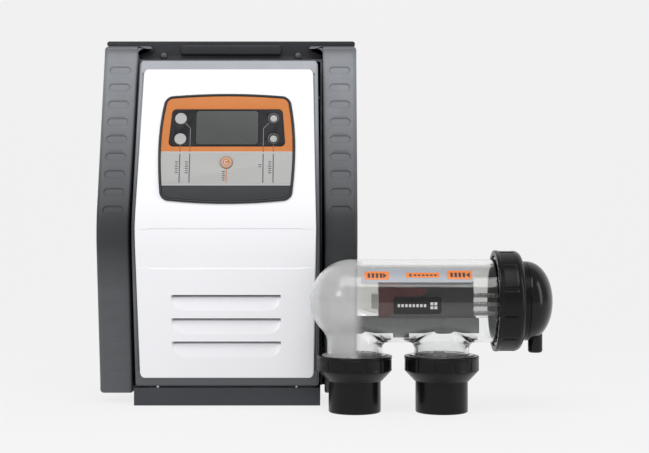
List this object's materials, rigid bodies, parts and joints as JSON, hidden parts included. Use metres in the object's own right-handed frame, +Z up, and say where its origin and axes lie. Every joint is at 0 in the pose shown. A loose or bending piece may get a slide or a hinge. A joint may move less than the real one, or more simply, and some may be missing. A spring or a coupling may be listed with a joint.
{
  "type": "salt chlorine generator",
  "caption": "Wall-mounted salt chlorinator power pack with a bent front, louvres and keypad, beside its clear electrolytic cell with two union ports and a domed head.",
  "frame": {"origin": "bottom centre of the bounding box of both units", "axes": "+Z up; the power pack's front faces -Y; the cell's axis runs along X with its head towards +X"},
  "size_m": [0.514, 0.202, 0.428],
  "materials": {
    "rear_casing": "fine moulded texture",
    "side_casing": "satin, fine moulded texture",
    "frame_casing": "satin, fine moulded texture",
    "white_cover": "semi gloss",
    "dark_tray": "satin",
    "fascia_print": "printed film, orange above and silver below",
    "window_black": "gloss",
    "lcd": "grey display glass",
    "key_grey": "satin",
    "key_orange": "satin",
    "screw_steel": "zinc plated",
    "screw_dark": "satin dark coat",
    "seal_rubber": "smooth",
    "board_green": "solder mask",
    "dark_moulding": "satin",
    "winding": "enamelled wire under film",
    "plated_steel": "zinc plated",
    "brass_parts": "turned",
    "alloy": "extruded",
    "relay_blue": "gloss",
    "can_sleeve": "shrink sleeve",
    "terminal_green": "satin",
    "ribbon": "flat cable jacket",
    "clear_glass": "clear polished acrylic",
    "label_grey": "printed film",
    "plate_black": "printed film",
    "black_moulding": "satin gloss",
    "titanium": "coated plate",
    "rail_grey": "satin",
    "clip_red": "satin",
    "spacer_white": "satin",
    "shroud_smoke": "smoke tinted"
  },
  "bodies": {
    "pack": {"rear_housing": "rear_casing", "wall_bracket": "plated_steel", "left_side_panel": "side_casing", "right_side_panel": "side_casing", "front_housing": "frame_casing", "front_cover": "white_cover", "cover_gasket": "seal_rubber", "base_skirt": "frame_casing", "skirt_screws": "screw_steel", "panel_screws": "screw_steel", "header_screws": "screw_dark", "keypad_tray": "dark_tray", "fascia_overlay": "fascia_print", "display_panel": "window_black", "lcd_glass": "lcd", "lcd_module": "plated_steel", "control_board": "board_green", "tactile_switches": "dark_moulding", "ribbon_cable": "ribbon", "toroid_core": "winding", "toroid_pads": "seal_rubber", "toroid_dish": "plated_steel", "toroid_bolt": "screw_steel", "power_board": "board_green", "board_standoffs": "brass_parts", "heat_sink": "alloy", "relay": "relay_blue", "capacitors": "can_sleeve", "terminal_block": "terminal_green", "fuse_holder": "dark_moulding", "mains_gland": "dark_moulding", "lead_gland": "dark_moulding"},
    "upper_left_key": {"upper_left_key": "key_grey"},
    "lower_left_key": {"lower_left_key": "key_grey"},
    "upper_right_key": {"upper_right_key": "key_grey"},
    "lower_right_key": {"lower_right_key": "key_grey"},
    "centre_key": {"centre_key": "key_orange"},
    "fuse_cap": {"fuse_cap": "dark_moulding"},
    "cell": {"cell_housing": "clear_glass", "label_strip": "label_grey", "name_plate": "plate_black"},
    "cell_head": {"cell_head": "black_moulding", "head_o_ring": "seal_rubber", "terminal_cover": "black_moulding", "cable_grommet": "seal_rubber", "electrode_plates": "titanium", "terminal_rods": "titanium", "terminal_nuts": "brass_parts", "plate_rail": "rail_grey", "plate_clip": "clip_red", "plate_spacer": "spacer_white", "flow_shroud": "shroud_smoke"},
    "locking_ring": {"locking_ring": "black_moulding"},
    "left_tail": {"left_union_tail": "black_moulding", "left_union_o_ring": "seal_rubber"},
    "right_tail": {"right_union_tail": "black_moulding", "right_union_o_ring": "seal_rubber"},
    "left_nut": {"left_union_nut": "black_moulding"},
    "right_nut": {"right_union_nut": "black_moulding"}
  },
  "joints": [
    {"name": "press_upper_left_key", "type": "slide", "parent": "pack", "child": "upper_left_key", "axis": [0, 0.9635, -0.2676], "range_m": [0, 0.0008], "stiffness_N_per_m": 400},
    {"name": "press_lower_left_key", "type": "slide", "parent": "pack", "child": "lower_left_key", "axis": [0, 0.9635, -0.2676], "range_m": [0, 0.0008], "stiffness_N_per_m": 400},
    {"name": "press_upper_right_key", "type": "slide", "parent": "pack", "child": "upper_right_key", "axis": [0, 0.9635, -0.2676], "range_m": [0, 0.0008], "stiffness_N_per_m": 400},
    {"name": "press_lower_right_key", "type": "slide", "parent": "pack", "child": "lower_right_key", "axis": [0, 0.9635, -0.2676], "range_m": [0, 0.0008], "stiffness_N_per_m": 400},
    {"name": "press_centre_key", "type": "slide", "parent": "pack", "child": "centre_key", "axis": [0, 0.9635, -0.2676], "range_m": [0, 0.0008], "stiffness_N_per_m": 400},
    {"name": "fuse_cap_twist", "type": "hinge", "parent": "pack", "child": "fuse_cap", "pos_m": [-0.047, 0.061, 0.012], "axis": [0, 0, -1], "range_deg": [0, 60]},
    {"name": "cell_lift", "type": "slide", "parent": "pack", "child": "cell", "axis": [0, -0.7071, 0.7071], "range_m": [0, 0.15]},
    {"name": "head_withdraw", "type": "slide", "parent": "cell", "child": "cell_head", "axis": [1, 0, 0], "range_m": [0, 0.2]},
    {"name": "ring_turn", "type": "hinge", "parent": "cell_head", "child": "locking_ring", "pos_m": [0.207, -0.045, 0.123], "axis": [-1, 0, 0], "range_deg": [0, 720]},
    {"name": "left_tail_drop", "type": "slide", "parent": "cell", "child": "left_tail", "axis": [0, 0, -1], "range_m": [0, 0.012]},
    {"name": "left_nut_turn", "type": "hinge", "parent": "left_tail", "child": "left_nut", "pos_m": [0.0385, -0.045, 0.049], "axis": [0, 0, -1], "range_deg": [0, 1080]},
    {"name": "right_tail_drop", "type": "slide", "parent": "cell", "child": "right_tail", "axis": [0, 0, -1], "range_m": [0, 0.012]},
    {"name": "right_nut_turn", "type": "hinge", "parent": "right_tail", "child": "right_nut", "pos_m": [0.1349, -0.045, 0.049], "axis": [0, 0, -1], "range_deg": [0, 1080]}
  ],
  "couplings": [
    {"joint": "left_tail_drop", "follows": "left_nut_turn", "m_per_rad": 0.0006366},
    {"joint": "right_tail_drop", "follows": "right_nut_turn", "m_per_rad": 0.0006366}
  ]
}
